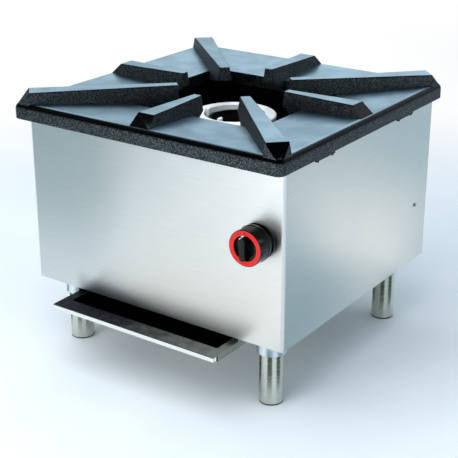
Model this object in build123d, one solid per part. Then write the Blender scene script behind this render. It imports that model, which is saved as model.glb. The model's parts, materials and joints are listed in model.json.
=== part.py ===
from build123d import *
import math
import os

# A low single-burner gas stock pot range. Millimetres, Z up, the front faces -Y.
# The origin lies on the floor under the centre of the cast top.

# ---- overall sizes ----
TOP_SIDE = 600.0          # side of the square cast top
POT_REST_Z = 524.0        # floor to the flat tops of the ribs
BODY_BASE_Z = 138.0       # floor to the cabinet's bottom edge
OVERHANG_SIDE = 11.0      # cast top beyond the cabinet's faces
OVERHANG_FRONT, OVERHANG_REAR = 32.0, 24.0
SEAT_DROP = 38.0          # rib tops down to the cabinet's upper edge

# ---- cast top ----
RIB_RISE = 21.0           # rib tops above the plate's edge
DISH_DROP = 8.5           # fall of the plate from its edge to the well
PLATE_THICK = 9.0
SKIRT_DROP = 31.0         # skirt depth below the plate's edge
SKIRT_THICK = 8.5
TOP_CORNER_R = 14.0       # corner radius in plan
TOP_EDGE_R = 12.0         # round from the plate over into the skirt
SKIRT_FOOT_R = 2.0        # eased lower edge of the skirt
WELL_SIDE = 315.0         # square hole over the burner
WELL_CORNER_R = 6.0
WELL_WALL = 8.0
WELL_WALL_DROP = 24.5     # lip hanging below the plate at the well
RIB_DRAFT = 9.0           # degrees off vertical
RIB_TOP_R = 2.2
RIB_TIP_R = 3.0
RIB_TIP_DEEP = 27.0       # height of the end face over the well
RIB_BURY = 5.0            # how far a rib's foot runs down into the plate
MID_NOSE, DIAG_NOSE = 39.5, 110.2         # reach of the ribs in over the well
MID_TIP_W, MID_CROWN_W = 17.0, 35.0
DIAG_TIP_W, DIAG_CROWN_W = 20.0, 40.0
MID_END, DIAG_END = 6.0, 9.0              # ribs' feet inside the top's edge and its corner
RIB_SLOPE = 24.0                          # run of a rib's sloped outer end
MID_FALL, DIAG_FALL = 24.0, 27.0          # drop of that end
NOSE_SETBACK = 4.0        # corner ribs' upright faces inside the skirt's face
NOSE_TAPER = 4.0          # and leaning inward up to the rib tops
NOSE_CORNER_R = 10.0
LUG_LENGTH, LUG_THICK, LUG_DROP = 61.0, 6.0, 3.0        # cast lugs under the side skirts
LUG_KNOB_DROP = 5.0
LUG_INSET = 3.0
LUG_YS = (-157.5, 139.0)
PAD_LONG, PAD_WIDE = 40.0, 16.0                         # seats under the plate

# ---- sheet metal ----
SHEET = 1.5               # cabinet skin
BEND_R = 6.0              # outside radius of the cabinet's front corners
VENT = (70.0, 8.0)        # upright slots in the back panel
VENT_COUNT, VENT_PITCH = 6, 30.0
VENT_DROP = 86.0          # slots' centre below the cabinet's upper edge
HEM = 25.0                # inward flange along the cabinet's bottom
RAIL = 25.0               # leg of the top rails
RAIL_GAUGE = 2.0
PLAY = 0.3                # between pieces that lift or slide past each other
FIT = 0.05                # radial clearance of a pin or screw in its hole
SMALL_SCREW_R = 2.5

# ---- legs ----
LEG_IN_SIDE, LEG_IN_END = 57.5, 55.0      # leg's axis inside the cabinet's faces
LEG_R = 23.0
LEG_WALL = 2.0
SOCKET_R, SOCKET_NECK_R = 28.0, 18.0
SOCKET_DEEP = 36.0        # collar height under the cabinet
SOCKET_ROOF = 6.0
PLATE_SIDE = 86.0         # corner plate in the cabinet
PLATE_GAUGE = 3.0
PLATE_SCREW_APART = 30.0
FOOT_DISC = 3.0
STUD_R = 6.0
STUD_LONG = 44.0
STUD_HEX = 18.0           # leg bolts, across flats
STUD_HEAD, STUD_NUT, STUD_END = 7.0, 6.0, 8.0
PLUG_LONG = 18.0

# ---- drip tray ----
TRAY_HANG = 10.0          # rim below the cabinet's bottom edge
TRAY_INSET = 115.0        # mouth inside the cabinet's sides
TRAY_OUT = 35.0           # mouth in front of the cabinet, as the tray rests
TRAY_SHORT = 64.0         # mouth shorter than the cabinet is deep
TRAY_DEEP = 28.0
TRAY_GAUGE = 1.2
TRAY_CORNER_R = 4.5
FLANGE_FRONT = 33.0
FLANGE_SIDE = 16.0
FLANGE_REAR = 12.0
LIP_DROP = 9.5
TRAY_IN = 43.0            # pushed fully in from the drawn-out rest
RUNNER_GAUGE = 1.5
RUNNER_HOLD = 12.0        # runner's shelf under the tray flange
RUNNER_PLAY = 1.0         # beside and behind the flange
RUNNER_INSET = 6.0        # ends inside the cabinet's faces

# ---- burner ----
RING_DROP = 64.0          # rib tops down to the flame ring
RING_THICK = 7.0
RING_R, RING_BORE_R = 82.0, 60.0
RING_SLEEVE = 15.0        # sleeve hanging from the ring's bore
RING_SLEEVE_WALL = 3.0
POST_ANGLES = (10.0, 100.0, -165.0, -85.0)
POST_WIDE, POST_RISE = 7.0, 5.0
BOWL_R, BOWL_WALL = 80.0, 5.0
BOWL_BORE_R = 46.0
BOWL_DEEP = 61.0          # flame ring down to the bowl's underside
BOWL_FLOOR = 6.0
PORT_COUNT = 24
PORT_WIDE, PORT_DEEP = 3.0, 2.5
ARM_X, ARM_Y, ARM_WIDE = 60.0, 95.0, 24.0
ARM_THICK = 9.0
BOLT_R, BOLT_HEX = 4.0, 13.0
BOLT_HEAD, BOLT_NUT, BOLT_END = 5.0, 6.0, 10.0
MIXER_UP = 23.0           # mixing tube's axis above the bowl's underside
MIXER_R, MIXER_BORE = 15.0, 11.5
MIXER_ROOM = 2.0          # round the tube where it passes the heat shield
THROAT_R = 8.5
MIXER_BACK = 72.0         # bell mouth behind the front panel
BELL_R, BELL_LONG = 24.0, 8.0
SHUTTER_GAP = 12.0        # air gap in front of the bell mouth
SHUTTER_R, SHUTTER_THICK = 26.0, 2.0
SHUTTER_HUB, SHUTTER_HUB_WALL = 10.0, 4.0
INJECTOR_R = 8.0
JET_R, JET_TIP_R, JET_TAPER = 1.0, 4.0, 7.0
HOLDER_SIDE, HOLDER_LONG, HOLDER_BEVEL = 24.0, 30.0, 2.0
BRACKET_DROP = 30.0
BEAM_HIGH, BEAM_CROWN, BEAM_BRIM, BEAM_GAUGE = 20.0, 30.0, 13.0, 2.0
ANGLE_LEG, ANGLE_SPARE = 28.0, 10.0
SHIELD_GAP = 5.0          # between the well lip and the heat shield
SHIELD_GAUGE = 1.2
SHIELD_UNDER = 2.0        # shield's upper edge below the well lip
SHIELD_FOOT, SHIELD_FOOT_CUT = 15.0, 20.0

# ---- gas control and pipes ----
KNOB_IN, KNOB_DROP = 53.0, 84.5           # inside the cabinet's side, below the mixing tube
KNOB_STAND = 51.0         # panel to the front of the grip
KNOB_R = 34.0
KNOB_BARREL_R = 33.0
KNOB_RIM = 41.0           # panel to the front of the red ring
KNOB_FACE = 6.0           # face sunk behind the ring
KNOB_SKIRT = 5.0
KNOB_RING_R, KNOB_RING_BORE = 31.7, 23.2
KNOB_RING_THICK = 1.6
GRIP_WIDE, GRIP_LONG = 13.0, 44.0
GRIP_TAPER, GRIP_EDGE_R = 4.0, 1.5
BEZEL_R, BEZEL_STEP_R, BEZEL_THICK = 33.0, 29.5, 6.0
PUSH = 3.0                # push to release the flame-failure valve
SPINDLE_R = 4.0
SPINDLE_OUT, SPINDLE_IN = 33.0, 18.0      # ends in front of and behind the panel
PUSH_ROD_IN = 40.0
NECK_R = 9.0              # threaded neck of the valve through the panel
VALVE_R, VALVE_LONG = 17.0, 58.0
VALVE_TAIL, VALVE_STEP = 18.0, 5.0
PORT_OUT, PORT_R = 8.0, 9.0               # pipe ports on the valve
NUT_HEX, NUT_LONG = 19.0, 12.0
PIPE_R = 6.0
PIPE_BEND = 17.0
PILOT_TUBE_R = 2.0
PILOT_X, PROBE_X, PILOT_Y = 26.5, 38.0, -97.0
PILOT_RISE, PILOT_SHELF = 24.0, 14.0      # pilot bracket's shelf above the beam
PILOT_R, PROBE_R, LEAD_R = 4.0, 2.5, 1.5
PILOT_TAIL, PROBE_LONG = 6.0, 34.0
HOOD_LONG, HOOD_WALL = 14.0, 1.5
LEAD_RISE, LEAD_BEND = 6.0, 8.0
LEAD_ROOM = 4.0           # round the thin pipes where they pass the heat shield
PILOT_LOOP = 25.0         # pilot tube turns down this far beside the valve
INLET_IN, INLET_DROP = 89.0, 75.5         # inside the cabinet's side, below the knob
INLET_R = 10.5            # 1/2 inch male pipe thread
INLET_SHOULDER = 4.0
INLET_GROOVE = 2.0        # run-out groove between the locknut and the free thread
INLET_TAIL = 60.0         # threaded tail behind the back panel
LOCKNUT_HEX, LOCKNUT_THICK = 30.0, 8.0
CLIP_IN = 51.0            # in front of the back panel
CLIP_WIDE, CLIP_HOOP = 14.0, 12.0
CLIP_LIP, CLIP_TAB = 16.0, 24.0

# ---- derived places ----
HALF = TOP_SIDE / 2
FRONT_Y, REAR_Y = OVERHANG_FRONT - HALF, HALF - OVERHANG_REAR
SIDE_X = HALF - OVERHANG_SIDE
IN_FRONT, IN_REAR, IN_SIDE = FRONT_Y + SHEET, REAR_Y - SHEET, SIDE_X - SHEET
FLOOR_IN = BODY_BASE_Z + SHEET
SEAT_Z = POT_REST_Z - SEAT_DROP
WELL = WELL_SIDE / 2
WELL_CORNER = WELL * math.sqrt(2) - WELL_CORNER_R * (math.sqrt(2) - 1)
PLATE_HALF = HALF - TOP_EDGE_R
PLATE_CORNER_R = TOP_CORNER_R - TOP_EDGE_R
PLATE_EDGE_Z = POT_REST_Z - RIB_RISE
WELL_Z = PLATE_EDGE_Z - DISH_DROP
SKIRT_Z = PLATE_EDGE_Z - SKIRT_DROP
LEG_X = SIDE_X - LEG_IN_SIDE
LEG_Y_FRONT, LEG_Y_REAR = FRONT_Y + LEG_IN_END, REAR_Y - LEG_IN_END
TRAY_RIM_Z = BODY_BASE_Z - TRAY_HANG
TRAY_MOUTH_HALF = SIDE_X - TRAY_INSET
TRAY_MOUTH_FRONT = FRONT_Y - TRAY_OUT
TRAY_LONG = REAR_Y - FRONT_Y - TRAY_SHORT
RUNNER_FRONT, RUNNER_REAR = FRONT_Y + RUNNER_INSET, REAR_Y - RUNNER_INSET
RING_Z = POT_REST_Z - RING_DROP
RING_BASE_Z = RING_Z - RING_THICK
BOWL_FLOOR_Z = RING_Z - BOWL_DEEP
BEAM_TOP_Z = BOWL_FLOOR_Z - ARM_THICK
MIXER_Z = BOWL_FLOOR_Z + MIXER_UP
MIXER_END_Y = FRONT_Y + MIXER_BACK
SHIELD_TOP_Z = WELL_Z - WELL_WALL_DROP - SHIELD_UNDER
KNOB_X, KNOB_Z = SIDE_X - KNOB_IN, MIXER_Z - KNOB_DROP
PORT_Y = FRONT_Y + SHEET + VALVE_LONG / 2            # pipe ports of the valve
PILOT_PORT_Y = FRONT_Y + SHEET + VALVE_LONG - VALVE_TAIL / 2
PILOT_SEAT_Z = BEAM_TOP_Z + PILOT_RISE
PILOT_AXIS_Y = PILOT_Y + PILOT_SHELF / 2 - 1
PILOT_LOW_Z = PILOT_SEAT_Z - PILOT_TAIL
LEAD_Z = BEAM_TOP_Z + LEAD_RISE
HOLDER_FACE_Y = PORT_Y + HOLDER_LONG / 2
INLET_X, INLET_Z = SIDE_X - INLET_IN, KNOB_Z - INLET_DROP
INLET_START_Y = REAR_Y - HEM - PIPE_R                # inner end of the inlet tail
INLET_TAIL_Y = REAR_Y + INLET_TAIL
CLIP_Y = REAR_Y - CLIP_IN
MIN_Z = (Align.CENTER, Align.CENTER, Align.MIN)
CORNERS = [(sx * LEG_X, y) for sx in (-1, 1) for y in (LEG_Y_FRONT, LEG_Y_REAR)]


# ---- shared forms ----
def slab(x_span, y_span, z_span):
    """Rectangular block between two limits on each axis."""
    spans = (x_span, y_span, z_span)
    middle = [(low + high) / 2 for low, high in spans]
    return Pos(*middle) * Box(*[high - low for low, high in spans])


def rod(start, end, radius):
    """Round bar from start to end."""
    run = Vector(*end) - Vector(*start)
    return Plane(origin=start, z_dir=run) * Cylinder(radius, run.length, align=MIN_Z)


def turned(points, start, direction):
    """Solid of revolution: points are (radius, distance) along direction from start."""
    body = revolve(Plane.XZ * Polygon(*points, align=None), Axis.Z)
    return Plane(origin=start, z_dir=direction) * body


def hex_bar(start, direction, across, length):
    """Hexagonal bar, across its flats."""
    face = RegularPolygon(across / 2, 6, major_radius=False)
    return Plane(origin=start, z_dir=direction) * extrude(face, length)


def along_x(points, x_low, x_high):
    """Prism with a (y, z) outline, from x_low to x_high."""
    face = Plane.YZ * Polygon(*points, align=None)
    return Pos(x_low, 0, 0) * extrude(face, x_high - x_low, dir=(1, 0, 0))


def along_y(points, y_low, y_high):
    """Prism with an (x, z) outline, from y_low to y_high."""
    face = Plane.XZ * Polygon(*points, align=None)
    return Pos(0, y_low, 0) * extrude(face, y_high - y_low, dir=(0, 1, 0))


def folded(points, gauge):
    """Outline of a folded strip. Points run along one skin, the metal lies to their left."""
    ends = [Vector(*p) for p in points]
    runs = [(b - a).normalized() for a, b in zip(ends, ends[1:])]
    lefts = [Vector(-run.Y, run.X) for run in runs]
    other = [ends[0] + lefts[0] * gauge]
    for place, one, two in zip(ends[1:], lefts, lefts[1:]):
        other.append(place + (one + two) * (gauge / (1 + one.dot(two))))
    other.append(ends[-1] + lefts[-1] * gauge)
    return [(p.X, p.Y) for p in ends + other[::-1]]


def pipe(points, radius, bend):
    """Round pipe swept along straight runs joined by bends."""
    path = FilletPolyline(*points, radius=bend)
    return sweep(Plane(origin=path @ 0, z_dir=path % 0) * Circle(radius), path)


def four_ways(shape, first=0.0):
    """Four copies at quarter turns about the vertical axis."""
    return [Rot(0, 0, first + 90 * turn) * shape for turn in range(4)]


def both_sides(shape):
    """The shape and its mirror image across the centre plane."""
    return [shape, mirror(shape, Plane.YZ)]


# ---- cast top ----
def square_at(half, height, corner):
    return Pos(0, 0, height) * RectangleRounded(2 * half, 2 * half, corner)


def dish(drop):
    """Shallow square funnel over the plate, lowered by drop."""
    rim = square_at(PLATE_HALF, PLATE_EDGE_Z - drop, PLATE_CORNER_R)
    floor = square_at(WELL, WELL_Z - drop, WELL_CORNER_R)
    return loft([floor, rim])


def top_shell():
    """Skirt, dished plate and the lip round the well."""
    block = extrude(square_at(HALF, SKIRT_Z, TOP_CORNER_R), SKIRT_DROP)
    block = fillet(block.edges().group_by(Axis.Z)[-1], TOP_EDGE_R)
    block = fillet(block.edges().group_by(Axis.Z)[0], SKIRT_FOOT_R)
    inside = HALF - SKIRT_THICK
    hollow = extrude(square_at(inside, SKIRT_Z, TOP_CORNER_R - SKIRT_THICK), SKIRT_DROP)
    crust = extrude(square_at(PLATE_HALF, PLATE_EDGE_Z, PLATE_CORNER_R), -SKIRT_DROP)
    lid = slab((-inside, inside), (-inside, inside), (PLATE_EDGE_Z - PLATE_THICK, PLATE_EDGE_Z))
    hollow -= lid + (crust & loft([
        square_at(WELL, WELL_Z - PLATE_THICK, WELL_CORNER_R),
        square_at(PLATE_HALF, PLATE_EDGE_Z - PLATE_THICK, PLATE_CORNER_R)]))
    lip_low = WELL_Z - WELL_WALL_DROP
    lip = extrude(square_at(WELL + WELL_WALL, lip_low, WELL_CORNER_R + WELL_WALL), WELL_WALL_DROP)
    well = extrude(square_at(WELL, lip_low, WELL_CORNER_R), WELL_WALL_DROP + SKIRT_DROP)
    return block - hollow - dish(0) + lip - well


def rib(tip, toe, tip_width, crown_width, toe_fall, well_reach):
    """Drafted arm along +X: it overhangs the well and its outer end slopes down."""
    crown = toe - RIB_SLOPE
    spread = (crown_width - tip_width) / (crown - tip) / 2
    well_foot = WELL_Z - WELL_WALL_DROP
    layers = []
    for height in (well_foot, POT_REST_Z):
        half = tip_width / 2 + (POT_REST_Z - height) * math.tan(math.radians(RIB_DRAFT))
        outer = half + spread * (toe - tip)
        outline = Polygon((tip, -half), (toe, -outer), (toe, outer), (tip, half), align=None)
        layers.append(Pos(0, 0, height) * outline)
    wall = well_reach + WELL_WALL
    side = along_y([
        (tip, POT_REST_Z), (crown, POT_REST_Z),
        (toe, POT_REST_Z - toe_fall), (wall, WELL_Z - RIB_BURY),
        (wall, well_foot + 2), (well_reach, well_foot + 2),
        (tip, POT_REST_Z - RIB_TIP_DEEP)], -crown_width, crown_width)
    arm = loft(layers) & side
    tip_edges = [e for e in arm.edges() if abs(e.center().X - tip) < 1 and abs(e.center().Y) > 5
                 and e.length > RIB_TIP_DEEP / 2]
    arm = fillet(tip_edges, RIB_TIP_R)
    return fillet(arm.faces().sort_by(Axis.Z)[-1].edges(), RIB_TOP_R)


def nose_limit():
    """Square with leaning upper faces that the corner ribs stay inside."""
    half = HALF - NOSE_SETBACK
    low = square_at(half, WELL_Z - WELL_WALL_DROP, NOSE_CORNER_R)
    edge = square_at(half, PLATE_EDGE_Z, NOSE_CORNER_R)
    crown = square_at(half - NOSE_TAPER, POT_REST_Z, NOSE_CORNER_R)
    return extrude(low, PLATE_EDGE_Z - WELL_Z + WELL_WALL_DROP) + loft([edge, crown])


def side_lugs():
    lugs = []
    for y in LUG_YS:
        x = HALF - LUG_INSET
        span = (x - LUG_THICK / 2, x + LUG_THICK / 2)
        reach = (y - LUG_LENGTH / 2, y + LUG_LENGTH / 2)
        lug = slab(span, reach, (SKIRT_Z - LUG_DROP, SKIRT_Z + 1))
        lug = fillet(lug.edges().filter_by(Axis.Y).group_by(Axis.Z)[0], LUG_DROP / 3)
        for end in reach:
            inward = y + (end - y) * 0.8
            low = SKIRT_Z - LUG_KNOB_DROP
            lug += rod((x, inward, low), (x, inward, SKIRT_Z + 1), LUG_THICK / 2)
        lugs += both_sides(lug)
    return lugs


def seat_pads():
    """Pads under the plate that stand on the cabinet's top rails."""
    pads = []
    reach = SIDE_X - PLAY - SHEET
    top = PLATE_EDGE_Z - PLATE_THICK + 2
    for centre in (FRONT_Y + RAIL, REAR_Y - RAIL):
        pad = slab((reach - PAD_WIDE, reach),
                   (centre - PAD_LONG / 2, centre + PAD_LONG / 2), (SEAT_Z, top))
        pads += both_sides(pad)
    return pads


def cast_top():
    casting = top_shell()
    arms = four_ways(rib(WELL - MID_NOSE, HALF - MID_END, MID_TIP_W, MID_CROWN_W, MID_FALL,
                         WELL))
    corner_rib = rib(WELL_CORNER - DIAG_NOSE, HALF * math.sqrt(2) - DIAG_END, DIAG_TIP_W,
                     DIAG_CROWN_W, DIAG_FALL, WELL_CORNER)
    limit = nose_limit()
    arms += [arm & limit for arm in four_ways(corner_rib, 45)]
    for piece in arms + side_lugs() + seat_pads():
        casting += piece
    return casting


# ---- cabinet ----
def cabinet_wrap():
    """Front and both sides in one sheet, hemmed inward along the bottom."""
    plan = slab((-SIDE_X, SIDE_X), (FRONT_Y, REAR_Y), (BODY_BASE_Z, SEAT_Z))
    corners = plan.edges().filter_by(Axis.Z).group_by(Axis.Y)[0]
    plan = fillet(corners, BEND_R)
    core = slab((-IN_SIDE, IN_SIDE), (IN_FRONT, REAR_Y), (FLOOR_IN, SEAT_Z))
    core = fillet(core.edges().filter_by(Axis.Z).group_by(Axis.Y)[0], BEND_R - SHEET)
    mouth = slab((HEM - SIDE_X, SIDE_X - HEM), (FRONT_Y + HEM, REAR_Y), (BODY_BASE_Z, FLOOR_IN))
    rear = slab((-IN_SIDE, IN_SIDE), (IN_REAR - FIT, REAR_Y), (BODY_BASE_Z, FLOOR_IN))
    skin = plan - core - mouth - rear
    skin -= rod((KNOB_X, FRONT_Y - 1, KNOB_Z), (KNOB_X, IN_FRONT + 1, KNOB_Z), NECK_R + FIT)
    skin -= rod((IN_SIDE - 1, CLIP_Y, INLET_Z), (SIDE_X + 1, CLIP_Y, INLET_Z), SMALL_SCREW_R + FIT)
    for x, y in plate_screw_places() + runner_screw_places():
        skin -= rod((x, y, BODY_BASE_Z - 1), (x, y, FLOOR_IN + 1), SMALL_SCREW_R + FIT)
    return skin


def back_panel():
    """Rear sheet between the sides, flanged forward for its screws, hemmed at the bottom."""
    half = IN_SIDE - FIT
    sheet = slab((-half, half), (IN_REAR, REAR_Y), (BODY_BASE_Z, SEAT_Z))
    hem = slab((HEM - half, half - HEM), (REAR_Y - HEM, REAR_Y), (BODY_BASE_Z, FLOOR_IN))
    flange = slab((half - SHEET, half), (REAR_Y - HEM, REAR_Y), (FLOOR_IN, SEAT_Z - RAIL))
    sheet += hem
    for side in both_sides(flange):
        sheet += side
    sheet -= rod((INLET_X, IN_REAR - 1, INLET_Z), (INLET_X, REAR_Y + 1, INLET_Z), INLET_R + FIT)
    slot = Rot(90, 0, 0) * extrude(Rot(0, 0, 90) * SlotOverall(*VENT), 2 * SHEET, both=True)
    for index in range(VENT_COUNT):
        x = (index - (VENT_COUNT - 1) / 2) * VENT_PITCH
        sheet -= Pos(x, REAR_Y, SEAT_Z - VENT_DROP) * slot
    for x, y in runner_screw_places():
        sheet -= rod((x, y, BODY_BASE_Z - 1), (x, y, FLOOR_IN + 1), SMALL_SCREW_R + FIT)
    return sheet


def top_rail_side():
    """Right-hand angle under the cast top."""
    skin = IN_SIDE - FIT
    shape = folded([(skin, SEAT_Z - RAIL), (skin, SEAT_Z), (skin - RAIL, SEAT_Z)], RAIL_GAUGE)
    return along_y(shape, IN_FRONT + BEND_R, IN_REAR - FIT - SHEET)


def top_rail_cross(skin, inward):
    """Angle along the front or the rear, between the side angles."""
    points = [(skin, SEAT_Z - RAIL), (skin, SEAT_Z), (skin + inward * RAIL, SEAT_Z)]
    if inward > 0:
        points = points[::-1]
    half = IN_SIDE - RAIL - PLAY
    return along_x(folded(points, RAIL_GAUGE), -half, half)


def corner_plate(x, y):
    """Plate in a bottom corner that spreads the leg's load into the hems."""
    side_x = math.copysign(IN_SIDE - SHEET - 2 * PLAY, x)
    near = IN_FRONT + PLAY if y < 0 else IN_REAR - PLAY
    far = near + math.copysign(PLATE_SIDE, -y)
    inner = side_x - math.copysign(PLATE_SIDE, x)
    plate = slab(sorted((side_x, inner)), sorted((near, far)), (FLOOR_IN, FLOOR_IN + PLATE_GAUGE))
    plate = chamfer(plate.edges().filter_by(Axis.Z), PLATE_SIDE / 10)
    plate -= rod((x, y, FLOOR_IN - 1), (x, y, FLOOR_IN + PLATE_GAUGE + 1), STUD_R + FIT)
    for screw_x, screw_y in plate_screw_places():
        plate -= rod((screw_x, screw_y, FLOOR_IN - 1),
                     (screw_x, screw_y, FLOOR_IN + PLATE_GAUGE + 1), SMALL_SCREW_R + FIT)
    return plate


def plate_screw_places():
    """Two screws through the side hem at each corner plate."""
    x = IN_SIDE - HEM / 2
    return [(sx * x, y + dy) for sx in (-1, 1) for y in (LEG_Y_FRONT, LEG_Y_REAR)
            for dy in (-PLATE_SCREW_APART / 2, PLATE_SCREW_APART / 2)]


def small_screw(start, direction, grip):
    """Pan-head screw with its nut: the head's seat is at start, the shank runs along direction."""
    head_r = SMALL_SCREW_R * 1.6
    profile = [(0, -SMALL_SCREW_R), (head_r * 0.6, -SMALL_SCREW_R), (head_r, -1), (head_r, 0),
               (SMALL_SCREW_R, 0), (SMALL_SCREW_R, grip), (head_r, grip),
               (head_r, grip + SMALL_SCREW_R), (0, grip + SMALL_SCREW_R)]
    return turned(profile, start, direction)


def screws_up(places, seat, grip):
    """Small screws driven upward, their heads under the seat height."""
    return [small_screw((x, y, seat), (0, 0, 1), grip) for x, y in places]


def plate_screws():
    return screws_up(plate_screw_places(), BODY_BASE_Z, SHEET + PLATE_GAUGE)


def runner_screws():
    return screws_up(runner_screw_places(), BODY_BASE_Z - RUNNER_GAUGE, RUNNER_GAUGE + SHEET)


def beam_screws():
    low = BEAM_TOP_Z - BEAM_HIGH
    return screws_up(beam_screw_places(), low - BEAM_GAUGE, 2 * BEAM_GAUGE)


def shield_screws():
    return screws_up(shield_screw_places(), BEAM_TOP_Z - BEAM_GAUGE, BEAM_GAUGE + SHIELD_GAUGE)


# ---- legs ----
def leg_socket(x, y):
    """Collar under the corner plate that the leg tube plugs into."""
    low = BODY_BASE_Z - SOCKET_DEEP
    body = turned([(0, 0), (SOCKET_R - 1, 0), (SOCKET_R, 1), (SOCKET_R, SOCKET_DEEP - 1),
                   (SOCKET_R - 1, SOCKET_DEEP), (SOCKET_NECK_R, SOCKET_DEEP),
                   (SOCKET_NECK_R, SOCKET_DEEP + SHEET), (0, SOCKET_DEEP + SHEET)], (x, y, low), (0, 0, 1))
    body -= rod((x, y, low - 1), (x, y, BODY_BASE_Z - SOCKET_ROOF), LEG_R + FIT)
    return body - rod((x, y, low), (x, y, FLOOR_IN + 1), STUD_R + FIT)


def leg_tube(x, y):
    top = BODY_BASE_Z - SOCKET_ROOF
    tube = rod((x, y, FOOT_DISC), (x, y, top), LEG_R)
    return tube - rod((x, y, 0), (x, y, top + 1), LEG_R - LEG_WALL)


def leg_plug(x, y):
    """Threaded plug in the foot of the tube."""
    plug = rod((x, y, FOOT_DISC), (x, y, FOOT_DISC + PLUG_LONG), LEG_R - LEG_WALL)
    return plug - rod((x, y, 0), (x, y, FOOT_DISC + PLUG_LONG + 1), STUD_R + FIT)


def leg_foot(x, y):
    """Levelling foot: a disc under the tube on a stud that screws into the plug."""
    profile = [(0, 0), (LEG_R - 1, 0), (LEG_R, 1), (LEG_R, FOOT_DISC), (STUD_R, FOOT_DISC),
               (STUD_R, FOOT_DISC + STUD_LONG - 1), (STUD_R - 1, FOOT_DISC + STUD_LONG),
               (0, FOOT_DISC + STUD_LONG)]
    return turned(profile, (x, y, 0), (0, 0, 1))


def leg_bolt(x, y):
    """Bolt from inside the cabinet through the corner plate and the socket's roof."""
    seat = FLOOR_IN + PLATE_GAUGE
    roof = BODY_BASE_Z - SOCKET_ROOF
    shank = rod((x, y, roof - STUD_END), (x, y, seat), STUD_R)
    nut = hex_bar((x, y, roof), (0, 0, -1), STUD_HEX, STUD_NUT)
    return shank + nut + hex_bar((x, y, seat), (0, 0, 1), STUD_HEX, STUD_HEAD)


# ---- drip tray ----
def drip_tray():
    rear = TRAY_MOUTH_FRONT + TRAY_LONG
    width = 2 * TRAY_MOUTH_HALF
    middle = (TRAY_MOUTH_FRONT + rear) / 2
    low = TRAY_RIM_Z - TRAY_DEEP
    outer = Pos(0, middle, low) * RectangleRounded(
        width + 2 * TRAY_GAUGE, TRAY_LONG + 2 * TRAY_GAUGE, TRAY_CORNER_R + TRAY_GAUGE)
    inner = Pos(0, middle, low + TRAY_GAUGE) * RectangleRounded(width, TRAY_LONG, TRAY_CORNER_R)
    pan = extrude(outer, TRAY_DEEP)
    pan = fillet(pan.edges().group_by(Axis.Z)[0], 2 * TRAY_GAUGE)
    edge = TRAY_MOUTH_HALF + FLANGE_SIDE
    front = TRAY_MOUTH_FRONT - FLANGE_FRONT
    pan += slab((-edge, edge), (front, rear + FLANGE_REAR), (TRAY_RIM_Z - TRAY_GAUGE, TRAY_RIM_Z))
    lip = slab((-edge, edge), (front, front + TRAY_GAUGE), (TRAY_RIM_Z - LIP_DROP, TRAY_RIM_Z))
    pan += lip
    pan = fillet(pan.edges().filter_by(Axis.X).filter_by_position(
        Axis.Y, front - 1, front + 0.1).group_by(Axis.Z)[-1], TRAY_GAUGE)
    well = extrude(inner, TRAY_DEEP)
    well = fillet(well.edges().group_by(Axis.Z)[0], TRAY_GAUGE)
    return pan - well


def tray_runner():
    """Right-hand channel that the tray's side flange slides in, with a rear stop."""
    web = TRAY_MOUTH_HALF + FLANGE_SIDE + RUNNER_PLAY + RUNNER_GAUGE
    shelf = TRAY_RIM_Z - TRAY_GAUGE - RUNNER_GAUGE
    inner = web - RUNNER_HOLD
    shape = folded([(inner, shelf), (web, shelf), (web, BODY_BASE_Z), (inner, BODY_BASE_Z)],
                   RUNNER_GAUGE)
    channel = along_y(shape, RUNNER_FRONT, RUNNER_REAR)
    stop = TRAY_MOUTH_FRONT + TRAY_LONG + FLANGE_REAR + TRAY_IN + RUNNER_PLAY
    tab = slab((inner, web), (stop, stop + RUNNER_GAUGE), (shelf, BODY_BASE_Z - RUNNER_GAUGE))
    channel += tab
    for x, y in runner_screw_places():
        channel -= rod((x, y, BODY_BASE_Z - 2 * RUNNER_GAUGE), (x, y, BODY_BASE_Z + 1),
                       SMALL_SCREW_R + FIT)
    return channel


def runner_screw_places():
    x = TRAY_MOUTH_HALF + FLANGE_SIDE + RUNNER_PLAY + RUNNER_GAUGE - RUNNER_HOLD / 2
    return [(sx * x, y) for sx in (-1, 1) for y in (FRONT_Y + HEM / 2, REAR_Y - HEM / 2)]


# ---- burner ----
def burner_ring():
    """Bright flame ring: flat rim, sleeve in its bore and four posts that centre it."""
    low = RING_BASE_Z - RING_SLEEVE + RING_THICK
    wall_r = RING_BORE_R + RING_SLEEVE_WALL
    ring = turned([(RING_BORE_R, low), (wall_r, low), (wall_r, RING_BASE_Z),
                   (RING_R, RING_BASE_Z), (RING_R, RING_Z - 2), (RING_R - 2, RING_Z),
                   (RING_BORE_R, RING_Z)], (0, 0, 0), (0, 0, 1))
    inner = BOWL_BORE_R + BOWL_WALL + PLAY
    post = slab((inner, RING_BORE_R + 1), (-POST_WIDE / 2, POST_WIDE / 2),
                (low, RING_Z + POST_RISE))
    post = fillet(post.edges().filter_by(Axis.X).group_by(Axis.Z)[-1], POST_WIDE / 3)
    post -= rod((0, 0, low - 1), (0, 0, RING_Z + 2 * POST_RISE), inner)
    for angle in POST_ANGLES:
        ring += Rot(0, 0, angle) * post
    return ring


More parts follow.
